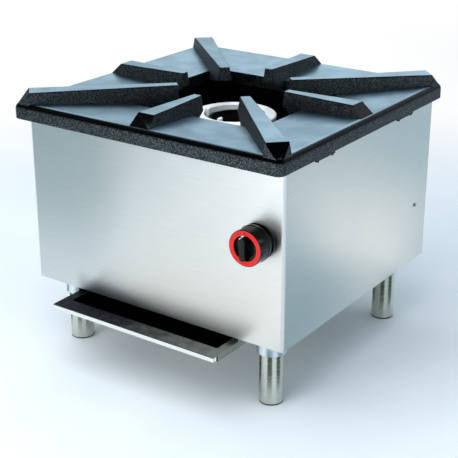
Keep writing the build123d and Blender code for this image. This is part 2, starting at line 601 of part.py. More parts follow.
def burner_body():
    """Cast bowl with a central air hole, flame ports, feet and a mixing tube to the front."""
    inner = BOWL_BORE_R + BOWL_WALL
    floor = BOWL_FLOOR_Z + BOWL_FLOOR
    bowl = turned([(BOWL_BORE_R, BOWL_FLOOR_Z), (BOWL_R - BOWL_WALL, BOWL_FLOOR_Z),
                   (BOWL_R, BOWL_FLOOR_Z + BOWL_WALL), (BOWL_R, RING_BASE_Z),
                   (BOWL_R - BOWL_WALL, RING_BASE_Z), (BOWL_R - BOWL_WALL, floor),
                   (inner, floor), (inner, RING_BASE_Z), (BOWL_BORE_R, RING_BASE_Z)],
                  (0, 0, 0), (0, 0, 1))
    turn = math.degrees(math.atan2(ARM_Y, ARM_X))
    spread = 2 * math.hypot(ARM_X, ARM_Y) + ARM_WIDE
    for angle in (turn, -turn):
        arm = Rot(0, 0, angle) * SlotOverall(spread, ARM_WIDE)
        bowl += Pos(0, 0, BEAM_TOP_Z) * extrude(arm, ARM_THICK + 1)
    tube_from = -(BOWL_R + inner) / 2
    reach = tube_from - MIXER_END_Y
    bowl += turned([(0, 0), (MIXER_R, 0), (MIXER_R, reach - 2 * BELL_LONG),
                    (BELL_R, reach - BELL_LONG), (BELL_R, reach), (0, reach)],
                   (0, tube_from, MIXER_Z), (0, -1, 0))
    bowl -= turned([(0, -BOWL_WALL), (MIXER_BORE, -BOWL_WALL), (MIXER_BORE, reach / 3),
                    (THROAT_R, reach * 2 / 3), (THROAT_R, reach - 2 * BELL_LONG),
                    (BELL_R - BOWL_WALL, reach), (0, reach)], (0, tube_from, MIXER_Z), (0, -1, 0))
    slot = slab((BOWL_R - 2 * BOWL_WALL, BOWL_R + 1), (-PORT_WIDE / 2, PORT_WIDE / 2),
                (RING_BASE_Z - PORT_DEEP, RING_BASE_Z + 1))
    for index in range(PORT_COUNT):
        bowl -= Rot(0, 0, 360 * index / PORT_COUNT) * slot
    for x, y in burner_bolt_places():
        bowl -= rod((x, y, BEAM_TOP_Z - 1), (x, y, BOWL_FLOOR_Z + 2), BOLT_R + FIT)
    return bowl


def burner_bolt_places():
    return [(sx * ARM_X, sy * ARM_Y) for sx in (-1, 1) for sy in (-1, 1)]


def burner_bolt(x, y):
    seat = BOWL_FLOOR_Z + 1
    under = BEAM_TOP_Z - BEAM_GAUGE
    bolt = rod((x, y, under - BOLT_END), (x, y, seat), BOLT_R)
    bolt += hex_bar((x, y, seat), (0, 0, 1), BOLT_HEX, BOLT_HEAD)
    return bolt + hex_bar((x, y, under), (0, 0, -1), BOLT_HEX, BOLT_NUT)


def burner_beam(y):
    """Hat-section beam from side to side that carries the burner and the heat shield."""
    low = BEAM_TOP_Z - BEAM_HIGH
    half = BEAM_CROWN / 2
    outline = [(y - half - BEAM_BRIM, low), (y - half, low), (y - half, BEAM_TOP_Z - BEAM_GAUGE),
               (y + half, BEAM_TOP_Z - BEAM_GAUGE), (y + half, low),
               (y + half + BEAM_BRIM, low)]
    reach = IN_SIDE - 2 * PLAY
    beam = along_x(folded(outline, BEAM_GAUGE), -reach, reach)
    for x, bolt_y in burner_bolt_places():
        beam -= rod((x, bolt_y, BEAM_TOP_Z - 2 * BEAM_GAUGE), (x, bolt_y, BEAM_TOP_Z + 1),
                    BOLT_R + FIT)
    for x, screw_y in beam_screw_places():
        beam -= rod((x, screw_y, low - 1), (x, screw_y, low + 2 * BEAM_GAUGE), SMALL_SCREW_R + FIT)
    for x, screw_y in shield_screw_places():
        beam -= rod((x, screw_y, BEAM_TOP_Z - 2 * BEAM_GAUGE), (x, screw_y, BEAM_TOP_Z + 1),
                    SMALL_SCREW_R + FIT)
    return beam


def beam_screw_places():
    x = IN_SIDE - ANGLE_LEG / 2
    reach = BEAM_CROWN / 2 + BEAM_BRIM / 2
    return [(sx * x, sy * (ARM_Y + reach)) for sx in (-1, 1) for sy in (-1, 1)]


def shield_screw_places():
    x = WELL + WELL_WALL + SHIELD_GAP + SHIELD_GAUGE + SHIELD_FOOT / 2
    return [(sx * x, sy * ARM_Y) for sx in (-1, 1) for sy in (-1, 1)]


def support_angle():
    """Right-hand angle welded to the cabinet's side, under the beams' ends."""
    top = BEAM_TOP_Z - BEAM_HIGH
    skin = IN_SIDE - FIT
    shape = folded([(skin, top - ANGLE_LEG), (skin, top), (skin - ANGLE_LEG, top)], BEAM_GAUGE)
    reach = ARM_Y + BEAM_CROWN / 2 + BEAM_BRIM + ANGLE_SPARE
    bar = along_y(shape, -reach, reach)
    for x, y in beam_screw_places():
        bar -= rod((x, y, top - 2 * BEAM_GAUGE), (x, y, top + 1), SMALL_SCREW_R + FIT)
    return bar


def heat_shield():
    """Square duct round the burner, under the well's lip, standing on the beams."""
    inner = WELL + WELL_WALL + SHIELD_GAP
    outer = inner + SHIELD_GAUGE
    duct = extrude(square_at(outer, BEAM_TOP_Z, WELL_CORNER_R), SHIELD_TOP_Z - BEAM_TOP_Z)
    duct -= extrude(square_at(inner, BEAM_TOP_Z, WELL_CORNER_R - SHIELD_GAUGE),
                    SHIELD_TOP_Z - BEAM_TOP_Z)
    foot_reach = inner - SHIELD_FOOT_CUT
    foot = slab((outer - SHIELD_GAUGE, outer + SHIELD_FOOT), (-foot_reach, foot_reach),
                (BEAM_TOP_Z, BEAM_TOP_Z + SHIELD_GAUGE))
    for side in both_sides(foot):
        duct += side
    duct -= rod((0, -outer - 1, MIXER_Z), (0, -inner + 1, MIXER_Z), MIXER_R + MIXER_ROOM)
    duct -= slab((PILOT_X - LEAD_ROOM, PROBE_X + LEAD_ROOM), (-outer - 1, -inner + 1),
                 (LEAD_Z - LEAD_ROOM, LEAD_Z + LEAD_ROOM))
    for x, y in shield_screw_places():
        duct -= rod((x, y, BEAM_TOP_Z - 1), (x, y, BEAM_TOP_Z + 3), SMALL_SCREW_R + FIT)
    return duct


# ---- injector and air shutter ----
def injector():
    """Brass spud that jets gas into the mixing tube."""
    reach = MIXER_END_Y - HOLDER_FACE_Y
    body = turned([(0, 0), (INJECTOR_R, 0), (INJECTOR_R, reach - JET_TAPER - 1),
                   (JET_TIP_R, reach - 1), (JET_TIP_R, reach), (0, reach)],
                  (0, HOLDER_FACE_Y, MIXER_Z), (0, 1, 0))
    return body - rod((0, HOLDER_FACE_Y + JET_TIP_R, MIXER_Z), (0, MIXER_END_Y + 1, MIXER_Z), JET_R)


def air_shutter():
    """Disc on a hub that slides along the injector to set the air gap."""
    start = MIXER_END_Y - SHUTTER_GAP
    bore = INJECTOR_R + FIT
    hub = bore + SHUTTER_HUB_WALL
    return turned([(bore, 0), (SHUTTER_R, 0), (SHUTTER_R, SHUTTER_THICK), (hub, SHUTTER_THICK),
                   (hub, SHUTTER_HUB), (bore, SHUTTER_HUB)], (0, start, MIXER_Z), (0, -1, 0))


def injector_holder():
    """Brass block between the burner pipe and the injector."""
    half = HOLDER_SIDE / 2
    block = slab((-half, half), (HOLDER_FACE_Y - HOLDER_LONG, HOLDER_FACE_Y),
                 (MIXER_Z - half, MIXER_Z + half))
    return chamfer(block.edges().filter_by(Axis.Y), HOLDER_BEVEL)


def injector_bracket():
    """Angle welded behind the front panel, under the holder."""
    top = MIXER_Z - HOLDER_SIDE / 2
    shape = folded([(HOLDER_FACE_Y, top), (IN_FRONT, top), (IN_FRONT, top - BRACKET_DROP)],
                   BEAM_GAUGE)
    return along_x(shape, -HOLDER_SIDE, HOLDER_SIDE)


# ---- gas control ----
def knob_at(out):
    """Point on the control's axis, out in front of the panel."""
    return (KNOB_X, FRONT_Y - out, KNOB_Z)


def knob_bezel():
    return turned([(NECK_R + FIT, 0), (BEZEL_R, 0), (BEZEL_R, BEZEL_THICK / 3),
                   (BEZEL_STEP_R + 1, BEZEL_THICK / 3), (BEZEL_STEP_R, BEZEL_THICK - 1),
                   (BEZEL_STEP_R - 1, BEZEL_THICK), (NECK_R + FIT, BEZEL_THICK)],
                  knob_at(0), (0, -1, 0))


def control_knob():
    """Deep round knob with a skirt, a recess for the red ring and a grip bar across the face."""
    rear = BEZEL_THICK + PUSH + 1
    deep = KNOB_RIM - rear
    seat = deep - KNOB_RING_THICK
    body = turned([(0, 3), (KNOB_R - 4, 3), (KNOB_R - 4, 0), (KNOB_R - 0.5, 0),
                   (KNOB_R, KNOB_SKIRT), (KNOB_BARREL_R, KNOB_SKIRT + 1),
                   (KNOB_BARREL_R, deep - 1), (KNOB_BARREL_R - 1, deep), (KNOB_RING_R, deep),
                   (KNOB_RING_R, seat), (KNOB_RING_BORE, seat),
                   (KNOB_RING_BORE, deep - KNOB_FACE), (0, deep - KNOB_FACE)],
                  knob_at(rear), (0, -1, 0))
    face = Plane(origin=knob_at(KNOB_RIM - KNOB_FACE), x_dir=(1, 0, 0), z_dir=(0, -1, 0))
    grip = face * extrude(Rot(0, 0, 90) * SlotOverall(GRIP_LONG, GRIP_WIDE),
                          KNOB_STAND - KNOB_RIM + KNOB_FACE, taper=GRIP_TAPER)
    grip = fillet(grip.faces().sort_by(Axis.Y)[0].edges(), GRIP_EDGE_R)
    body += grip
    return body - rod(knob_at(rear - 1), knob_at(SPINDLE_OUT), SPINDLE_R + FIT)


def knob_ring():
    return turned([(KNOB_RING_BORE, 0), (KNOB_RING_R, 0), (KNOB_RING_R, KNOB_RING_THICK),
                   (KNOB_RING_BORE, KNOB_RING_THICK)],
                  knob_at(KNOB_RIM - KNOB_RING_THICK), (0, -1, 0))


def spindle():
    """Round spindle with a flat where the knob grips it."""
    bar = rod(knob_at(-SPINDLE_IN), knob_at(SPINDLE_OUT), SPINDLE_R)
    flat = slab((KNOB_X - NECK_R, KNOB_X + NECK_R),
                (FRONT_Y - KNOB_RIM, FRONT_Y - BEZEL_THICK - PUSH - 1),
                (KNOB_Z + SPINDLE_R - 1, KNOB_Z + 2 * SPINDLE_R))
    return bar - flat


def push_rod():
    """Rod behind the spindle that opens the flame-failure valve."""
    return rod(knob_at(-SPINDLE_IN), knob_at(-PUSH_ROD_IN), SPINDLE_R - 1)


def valve_body():
    """Brass gas tap clamped through the panel, its ports to the burner, inlet and pilot."""
    rear = SHEET + VALVE_LONG
    body = turned([(0, -BEZEL_THICK), (NECK_R, -BEZEL_THICK), (NECK_R, SHEET), (VALVE_R, SHEET),
                   (VALVE_R, rear - VALVE_TAIL - 2), (VALVE_R - VALVE_STEP, rear - VALVE_TAIL),
                   (VALVE_R - VALVE_STEP, rear), (0, rear)], knob_at(0), (0, 1, 0))
    reach = VALVE_R + PORT_OUT
    body += rod((KNOB_X, PORT_Y, KNOB_Z - reach), (KNOB_X, PORT_Y, KNOB_Z + reach), PORT_R)
    body += rod((KNOB_X, PILOT_PORT_Y, KNOB_Z), (KNOB_X - reach, PILOT_PORT_Y, KNOB_Z),
                2 * PILOT_TUBE_R)
    body -= rod(knob_at(BEZEL_THICK + 1), knob_at(-SPINDLE_IN - PUSH - 1), SPINDLE_R + FIT)
    return body - rod(knob_at(-SPINDLE_IN), knob_at(-PUSH_ROD_IN - PUSH - 1), SPINDLE_R - 1 + FIT)


def pipe_nuts():
    """Union nuts where the pipes meet the valve, the injector holder and the inlet."""
    reach = VALVE_R + PORT_OUT
    half = HOLDER_SIDE / 2
    places = [((KNOB_X, PORT_Y, KNOB_Z + reach), (0, 0, 1)),
              ((KNOB_X, PORT_Y, KNOB_Z - reach), (0, 0, -1)),
              ((half, PORT_Y, MIXER_Z), (1, 0, 0)),
              ((INLET_X, INLET_START_Y, INLET_Z), (0, -1, 0))]
    nuts = []
    for start, direction in places:
        end = tuple(a + (NUT_LONG + 1) * b for a, b in zip(start, direction))
        before = tuple(a - b for a, b in zip(start, direction))
        nut = hex_bar(start, direction, NUT_HEX, NUT_LONG)
        nuts.append(nut - rod(before, end, PIPE_R + FIT))
    return nuts


def burner_pipe():
    """From the valve up and across behind the front panel to the injector holder."""
    start = KNOB_Z + VALVE_R + PORT_OUT
    return pipe([(KNOB_X, PORT_Y, start), (KNOB_X, PORT_Y, MIXER_Z),
                 (HOLDER_SIDE / 2, PORT_Y, MIXER_Z)], PIPE_R, PIPE_BEND)


def supply_pipe():
    """From the rear inlet forward and up into the valve."""
    low = KNOB_Z - VALVE_R - PORT_OUT
    return pipe([(INLET_X, INLET_START_Y, INLET_Z), (INLET_X, PORT_Y, INLET_Z),
                 (KNOB_X, PORT_Y, INLET_Z), (KNOB_X, PORT_Y, low)], PIPE_R, PIPE_BEND)


def gas_inlet():
    """Male threaded tail through the back panel, with a shoulder inside."""
    start = INLET_START_Y
    long = INLET_TAIL_Y - start
    shoulder = IN_REAR - start
    flare = INLET_R + INLET_SHOULDER
    groove = REAR_Y + LOCKNUT_THICK - start
    body = turned([(0, 0), (PORT_R, 0), (PORT_R, PORT_OUT), (flare, PORT_OUT + 2),
                   (flare, shoulder), (INLET_R, shoulder), (INLET_R, groove),
                   (INLET_R - 1, groove), (INLET_R - 1, groove + INLET_GROOVE),
                   (INLET_R, groove + INLET_GROOVE), (INLET_R, long - 1),
                   (INLET_R - 1, long), (0, long)], (INLET_X, start, INLET_Z), (0, 1, 0))
    return body - rod((INLET_X, start - 1, INLET_Z), (INLET_X, INLET_TAIL_Y + 1, INLET_Z), PIPE_R)


def inlet_locknut():
    nut = hex_bar((INLET_X, REAR_Y, INLET_Z), (0, 1, 0), LOCKNUT_HEX, LOCKNUT_THICK)
    end_y = REAR_Y + LOCKNUT_THICK + 1
    return nut - rod((INLET_X, REAR_Y - 1, INLET_Z), (INLET_X, end_y, INLET_Z), INLET_R + FIT)


def pipe_clip():
    """Strap from the cabinet's side wall that holds the supply pipe."""
    low = INLET_Z - PIPE_R
    shape = folded([(INLET_X - CLIP_LIP, low - SHEET), (IN_SIDE - FIT, low - SHEET),
                    (IN_SIDE - FIT, low + CLIP_TAB)], SHEET)
    strap = along_y(shape, CLIP_Y - CLIP_WIDE / 2, CLIP_Y + CLIP_WIDE / 2)
    hoop = rod((INLET_X, CLIP_Y - CLIP_HOOP / 2, INLET_Z),
               (INLET_X, CLIP_Y + CLIP_HOOP / 2, INLET_Z), PIPE_R + SHEET)
    hoop -= slab((0, IN_SIDE), (0, IN_REAR), (0, low))
    strap += hoop
    strap -= rod((INLET_X, CLIP_Y - CLIP_WIDE, INLET_Z), (INLET_X, CLIP_Y + CLIP_WIDE, INLET_Z),
                 PIPE_R + FIT)
    return strap - rod((IN_SIDE - 5, CLIP_Y, INLET_Z), (SIDE_X, CLIP_Y, INLET_Z),
                       SMALL_SCREW_R + FIT)


# ---- pilot ----
def pilot_bracket():
    """Angle on the front beam that holds the pilot jet and the thermocouple."""
    shape = folded([(PILOT_Y - PILOT_SHELF, BEAM_TOP_Z), (PILOT_Y, BEAM_TOP_Z),
                    (PILOT_Y, PILOT_SEAT_Z), (PILOT_Y + PILOT_SHELF, PILOT_SEAT_Z)], SHEET)
    bracket = along_x(shape, PILOT_X - PILOT_R - 2, PROBE_X + 2 * PROBE_R)
    for x, radius in ((PILOT_X, PILOT_R), (PROBE_X, PROBE_R)):
        bracket -= rod((x, PILOT_AXIS_Y, BEAM_TOP_Z), (x, PILOT_AXIS_Y, RING_Z), radius + FIT)
        bracket -= rod((x, PILOT_Y - 5, LEAD_Z), (x, PILOT_Y + 5, LEAD_Z), PILOT_TUBE_R + 1)
    return bracket


def pilot_burner():
    """Pilot jet with its hood, clipped through the bracket."""
    high = RING_BASE_Z - PILOT_LOW_Z
    hood = PILOT_R + HOOD_WALL
    return turned([(0, 0), (PILOT_R, 0), (PILOT_R, high - HOOD_LONG - HOOD_WALL),
                   (hood, high - HOOD_LONG), (hood, high - 2 * HOOD_WALL), (PILOT_R - 1, high),
                   (0, high)], (PILOT_X, PILOT_AXIS_Y, PILOT_LOW_Z), (0, 0, 1))


def thermocouple():
    """Probe beside the pilot with its lead to the back of the valve."""
    back_y = MIXER_END_Y + 1
    foot = (PROBE_X, PILOT_AXIS_Y, PILOT_LOW_Z)
    probe = turned([(0, 0), (PROBE_R, 0), (PROBE_R, PROBE_LONG - 2 * PROBE_R),
                    (PROBE_R - 1, PROBE_LONG), (0, PROBE_LONG)], foot, (0, 0, 1))
    end_y = FRONT_Y + SHEET + VALVE_LONG
    lead = pipe([foot, (PROBE_X, PILOT_AXIS_Y, LEAD_Z), (PROBE_X, back_y, LEAD_Z),
                 (KNOB_X, back_y, LEAD_Z), (KNOB_X, back_y, KNOB_Z), (KNOB_X, end_y, KNOB_Z)],
                LEAD_R, LEAD_BEND)
    return probe + lead


def pilot_tube():
    """Thin gas tube from the valve to the pilot jet."""
    end_x = KNOB_X - VALVE_R - PORT_OUT
    loop_x = end_x - PILOT_LOOP
    return pipe([(PILOT_X, PILOT_AXIS_Y, PILOT_LOW_Z), (PILOT_X, PILOT_AXIS_Y, LEAD_Z),
                 (PILOT_X, PILOT_PORT_Y, LEAD_Z), (loop_x, PILOT_PORT_Y, LEAD_Z),
                 (loop_x, PILOT_PORT_Y, KNOB_Z), (end_x, PILOT_PORT_Y, KNOB_Z)],
                PILOT_TUBE_R, LEAD_BEND)


def build():
    side_rail = top_rail_side()
    runner = tray_runner()
    angle = support_angle()
    clip_screw = small_screw((SIDE_X, CLIP_Y, INLET_Z), (-1, 0, 0), 2 * SHEET + FIT)
    parts = {
        "cast_top": cast_top(),
        "cabinet_wrap": cabinet_wrap(),
        "back_panel": back_panel(),
        "top_rail_right": side_rail,
        "top_rail_left": mirror(side_rail, Plane.YZ),
        "top_rail_front": top_rail_cross(IN_FRONT, 1),
        "top_rail_rear": top_rail_cross(IN_REAR - FIT, -1),
        "drip_tray": drip_tray(),
        "tray_runner_right": runner,
        "tray_runner_left": mirror(runner, Plane.YZ),
        "burner_ring": burner_ring(),
        "burner_body": burner_body(),
        "burner_beam_front": burner_beam(-ARM_Y),
        "burner_beam_rear": burner_beam(ARM_Y),
        "support_angle_right": angle,
        "support_angle_left": mirror(angle, Plane.YZ),
        "heat_shield": heat_shield(),
        "injector": injector(),
        "air_shutter": air_shutter(),
        "injector_holder": injector_holder(),
        "injector_bracket": injector_bracket(),
        "knob_bezel": knob_bezel(),
        "control_knob": control_knob(),
        "knob_ring": knob_ring(),
        "valve_spindle": spindle(),
        "safety_push_rod": push_rod(),
        "valve_body": valve_body(),
        "burner_pipe": burner_pipe(),
        "supply_pipe": supply_pipe(),
        "gas_inlet": gas_inlet(),
        "inlet_locknut": inlet_locknut(),
        "pipe_clip": pipe_clip(),
        "clip_screw": clip_screw,
        "pilot_bracket": pilot_bracket(),
        "pilot_burner": pilot_burner(),
        "thermocouple": thermocouple(),
        "pilot_tube": pilot_tube(),
    }
    names = ("front_left", "rear_left", "front_right", "rear_right")
    for name, (x, y) in zip(names, CORNERS):
        parts["corner_plate_" + name] = corner_plate(x, y)
        parts["leg_socket_" + name] = leg_socket(x, y)
        parts["leg_tube_" + name] = leg_tube(x, y)
        parts["leg_foot_" + name] = leg_foot(x, y)
    groups = {
        "leg_plugs": [leg_plug(x, y) for x, y in CORNERS],
        "leg_bolts": [leg_bolt(x, y) for x, y in CORNERS],
        "base_screws": plate_screws() + runner_screws(),
        "burner_frame_screws": beam_screws() + shield_screws(),
        "burner_bolts": [burner_bolt(x, y) for x, y in burner_bolt_places()],
        "pipe_nuts": pipe_nuts(),
    }
    for name, pieces in groups.items():
        parts[name] = Compound(children=[solid for piece in pieces for solid in piece.solids()])
    return parts


os.makedirs("parts", exist_ok=True)
for node, shape in build().items():
    export_step(shape, "parts/" + node + ".step")
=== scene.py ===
"""A gas stock pot range with a ribbed cast iron top, in a plain pale studio. Metres, front towards -Y."""
import json
import math

import bmesh
import bpy
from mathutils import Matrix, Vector


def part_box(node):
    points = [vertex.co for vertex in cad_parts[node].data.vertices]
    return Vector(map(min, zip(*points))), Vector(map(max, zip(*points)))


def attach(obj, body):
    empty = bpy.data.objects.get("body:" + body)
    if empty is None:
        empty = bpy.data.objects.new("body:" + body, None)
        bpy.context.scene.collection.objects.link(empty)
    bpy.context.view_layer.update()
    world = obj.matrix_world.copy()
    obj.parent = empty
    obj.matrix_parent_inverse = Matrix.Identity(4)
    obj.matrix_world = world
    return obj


MM = 0.001

# ---- camera, as the photograph was taken ----
CAMERA_PLACE = (1.2289, -1.7696, 1.0868)
CAMERA_TURN = 0.6119            # radians anticlockwise from looking straight at the front
CAMERA_DIP = 0.384              # radians below the horizon
FOCAL_PIXELS = 1144.6           # for a frame 458 pixels wide
FRAME_PIXELS = 458
SENSOR_MM = 36.0

# ---- casting ----
EASED_EDGE = 1.6                # millimetres taken off its sharp edges
EASED_TURN = 28                 # degrees that a sharp edge turns by, or more
JOIN_WITHIN = 0.02              # millimetres; corners of its loose triangles this close are one

# ---- painted reflection and shadow of the drip tray on the front panel, in metres ----
TRAY_REFLECTION_FOOT = 0.136              # height behind the tray's rim
TRAY_REFLECTION_HIGH, TRAY_REFLECTION_LOW = 0.052, 0.012            # climb at its left end and from its middle on
FALL_FROM, FALL_TO = -0.20, 0.06                # across, where the climb goes from high to low
TRAY_REFLECTION_ENDS = ((-0.198, -0.168), (0.16, 0.02))   # across, from bare to darkened, at the left and the right
TRAY_REFLECTION_COVER = 0.62              # share of the bare steel that it hides
PANEL_FROM = -0.26              # only the front panel lies in front of this

# ---- drip tray, in metres as it rests ----
PAN_HALF = 0.1743               # its inside faces, with a little to spare
PAN_FRONT, PAN_REAR = -0.3034, 0.1774
PAN_FLOOR = 0.1006              # within the thickness of its floor
PAN_SHADE_FROM, PAN_SHADE_TO = 0.1266, 0.1258   # height, from the clean rim down to the wall painted near black as shade
BEND_FROM, BEND_TO = 0.1262, 0.1266     # height, from the front lip's face, painted pale as a highlight, up to its dark bend
PAINTED_SHADE_ACROSS = -2.6             # painted shade on the flange: change per metre to the right
PAINTED_SHADE_PATCHY = 0.35             # change either way from place to place

# ---- control ----
KNOB_FACE = 6.0                 # millimetres from the red ring back to the knob's face
MARK_DEEP = 0.12               # millimetres that a mark stands out from its face
ROUND_STEPS = 8                 # facets on a mark's round end
# its marks: both ends, across and up from its axis, and the width, in millimetres; the pale strokes are
# painted highlights, the dots are print
HIGHLIGHT_STROKES = (((-10.8, 17.0), (-6.4, 18.8), 2.3), ((-15.0, 12.2), (-9.6, 14.4), 1.9))
DOTS = (((-0.6, 27.3), (0.6, 27.4), 2.8), ((-13.9, 23.4), (-13.3, 23.8), 2.2))

# ---- studio, in metres ----
FLOOR_HALF = 9.0                # half the floor's side
LIT_TO, WHITE_FROM = 0.75, 1.9  # from the range, where the lit floor gives way to plain white
TINT_WAY = (0.82, 0.57, 0.0)    # level direction in which that white turns a faint blue
TINT_FROM, TINT_FULL = 0.5, 1.6         # along it
TINT_FADES, TINT_ENDS = 2.4, 3.4        # from the range
WINDOW_WAY = (-0.574, 0.819, 0.0)       # level direction from the camera past the range
ROOM_TO, WINDOW_FROM = -0.25, 0.45      # cosine of the angle to it, from the room to the window
WINDOW_SIDE = (0.819, 0.574, 0.0)       # level direction to its right-hand end, seen from the camera
WALL_TO, GLASS_FROM = -0.28, 0.08       # cosine of the angle to it, from plain wall to the window
WORLD_LEVEL = 2.45              # strength for everything but the camera's own rays
UPRIGHT_FOOT, LYING_HEIGHT = 0.002, 0.003       # cards' height over the floor
LEG_PLACES = ((0.2315, -0.213), (-0.2315, -0.213), (0.2315, 0.221))     # the three legs in sight
LEG_CARDS = (                   # both ends of a card's foot, across and back from the leg's axis
    ("front", (-0.002, -0.100, 0.060, -0.078)),
    ("right", (0.097, -0.026, 0.094, 0.034)),
    ("left", (-0.094, 0.010, -0.087, -0.050)),
)
LEG_CARD_TOP = 0.095

# ---- settings that many nodes share ----
EASED = {"interpolation_type": "SMOOTHSTEP"}    # Map Range: a step that starts and stops softly
COLOURS = {"data_type": "RGBA"}                 # Mix: of colours
FIRST, SECOND, MIXED = 6, 7, 2                  # its two colours and its result, by number


# ---- shared helpers ----
def linear(colour):
    """An sRGB hex colour as linear red, green, blue and alpha."""
    channels = [int(colour[start:start + 2], 16) / 255 for start in (1, 3, 5)]
    return [c / 12.92 if c <= 0.04045 else ((c + 0.055) / 1.055) ** 2.4 for c in channels] + [1.0]


def add(tree, kind, inputs=None, stops=(), **settings):
    """Adds a node with its settings and links, and gives back its outputs.

    An input is a plain value, a hex colour or the output that feeds it.
    Stops are the positions and hex colours along a colour ramp.
    """
    new = tree.nodes.new("ShaderNode" + kind)
    for name, value in settings.items():
        setattr(new, name, value)
    for name, value in (inputs or {}).items():
        if isinstance(value, bpy.types.NodeSocket):
            tree.links.new(value, new.inputs[name])
        else:
            new.inputs[name].default_value = linear(value) if isinstance(value, str) else value
    if stops:
        band = new.color_ramp.elements
        while len(band) < len(stops):
            band.new(0.5)
        for element, (position, colour) in zip(band, stops):
            element.position = position
            element.color = linear(colour)
    return new.outputs


def blank(name):
    """A new material, its node tree and its surface shader."""
    material = bpy.data.materials.new(name)
    material.use_nodes = True
    return material, material.node_tree, material.node_tree.nodes["Principled BSDF"]


def stretched(tree, along_x, along_y=None, along_z=None):
    """Object coordinates counted in a pattern's sizes, in millimetres; one size alone serves all ways."""
    sizes = (along_x, along_y or along_x, along_z or along_x)
    place = add(tree, "TexCoord")["Object"]
    return add(tree, "Mapping", {"Vector": place, "Scale": [1 / (size * MM) for size in sizes]})[0]


def axes(tree, coordinates):
    """X, Y and Z of a piece's Object or Normal coordinates."""
    return add(tree, "SeparateXYZ", {"Vector": add(tree, "TexCoord")[coordinates]})


def finish(tree, shader, colour, rough, height, strength, depth):
    """Joins colour, roughness and relief to the surface shader; depth is in millimetres."""
    bump = add(tree, "Bump", {"Height": height, "Strength": strength, "Distance": depth * MM})
    for name, value in (("Base Color", colour), ("Roughness", rough), ("Normal", bump["Normal"])):
        tree.links.new(value, shader.inputs[name])


# ---- finishes ----
def polish_level(tree, shader, smear):
    """Metal polished round the vertical, so that highlights stretch up and down."""
    shader.inputs["Metallic"].default_value = 1.0
    shader.inputs["Anisotropic"].default_value = smear
    shader.inputs["Anisotropic Rotation"].default_value = 0.25      # a quarter turn
    tangent = add(tree, "Tangent", direction_type="RADIAL", axis="Z")["Tangent"]
    tree.links.new(tangent, shader.inputs["Tangent"])


def brushed_cabinet(name):
    """304 stainless sheet, belt-brushed level with the floor, with a brown painted reflection and shadow of
    the drip tray above it.

    Real brush lines are about 0.1 mm wide. They are drawn at 0.45 mm, so that they show.
    """
    material, tree, shader = blank(name)
    lines = add(tree, "TexNoise", {"Vector": stretched(tree, 70, 70, 0.45), "Scale": 1.0, "Detail": 3.0})[0]
    cloud = add(tree, "TexNoise", {"Vector": stretched(tree, 120), "Scale": 1.0, "Detail": 2.0})[0]
    steel = add(tree, "ValToRGB", {"Fac": lines}, stops=((0.3, "#ced1cf"), (0.7, "#dddfdc")))[0]
    rough = add(tree, "MapRange", {"Value": lines, "To Min": 0.27, "To Max": 0.32})[0]
    handled = add(tree, "MapRange", {"Value": cloud, "To Min": -0.03, "To Max": 0.03})[0]
    rough = add(tree, "Math", {0: rough, 1: handled}, operation="ADD")[0]

    x, y, z = axes(tree, "Object")
    # painted reflection and shadow of the drip tray: a brown smear above its rim, tallest at the left
    fall = add(tree, "MapRange", {"Value": x, "From Min": FALL_FROM, "From Max": FALL_TO}, **EASED)[0]
    climb = add(tree, "MapRange", {"Value": fall, "To Min": TRAY_REFLECTION_HIGH, "To Max": TRAY_REFLECTION_LOW})[0]
    above = add(tree, "Math", {0: z, 1: TRAY_REFLECTION_FOOT}, operation="SUBTRACT")[0]
    above = add(tree, "Math", {0: above, 1: climb}, operation="DIVIDE")[0]
    painted_tray_reflection = add(tree, "MapRange", {"Value": above, "From Min": 1.0, "From Max": 0.0}, **EASED)[0]
    limits = [add(tree, "MapRange", {"Value": x, "From Min": clean, "From Max": darkened}, **EASED)[0]
              for clean, darkened in TRAY_REFLECTION_ENDS]
    limits.append(add(tree, "Math", {0: y, 1: PANEL_FROM}, operation="LESS_THAN")[0])
    for factor in (*limits, TRAY_REFLECTION_COVER):
        painted_tray_reflection = add(tree, "Math", {0: painted_tray_reflection, 1: factor}, operation="MULTIPLY")[0]
    colour = add(tree, "Mix", {"Factor": painted_tray_reflection, FIRST: steel, SECOND: "#5f5354"}, **COLOURS)[MIXED]
    finish(tree, shader, colour, rough, lines, 0.04, 0.1)
    polish_level(tree, shader, 0.75)
    return material


def satin_tube(name):
    """Drawn stainless tube polished round its girth: tall soft light and dark bands."""
    material, tree, shader = blank(name)
    rings = add(tree, "TexNoise", {"Vector": stretched(tree, 60, 60, 0.5), "Scale": 1.0, "Detail": 3.0})[0]
    colour = add(tree, "ValToRGB", {"Fac": rings}, stops=((0.3, "#cacec4"), (0.7, "#d2d5cb")))[0]
    rough = add(tree, "MapRange", {"Value": rings, "To Min": 0.25, "To Max": 0.29})[0]
    finish(tree, shader, colour, rough, rings, 0.01, 0.05)
    polish_level(tree, shader, 0.85)
    return material


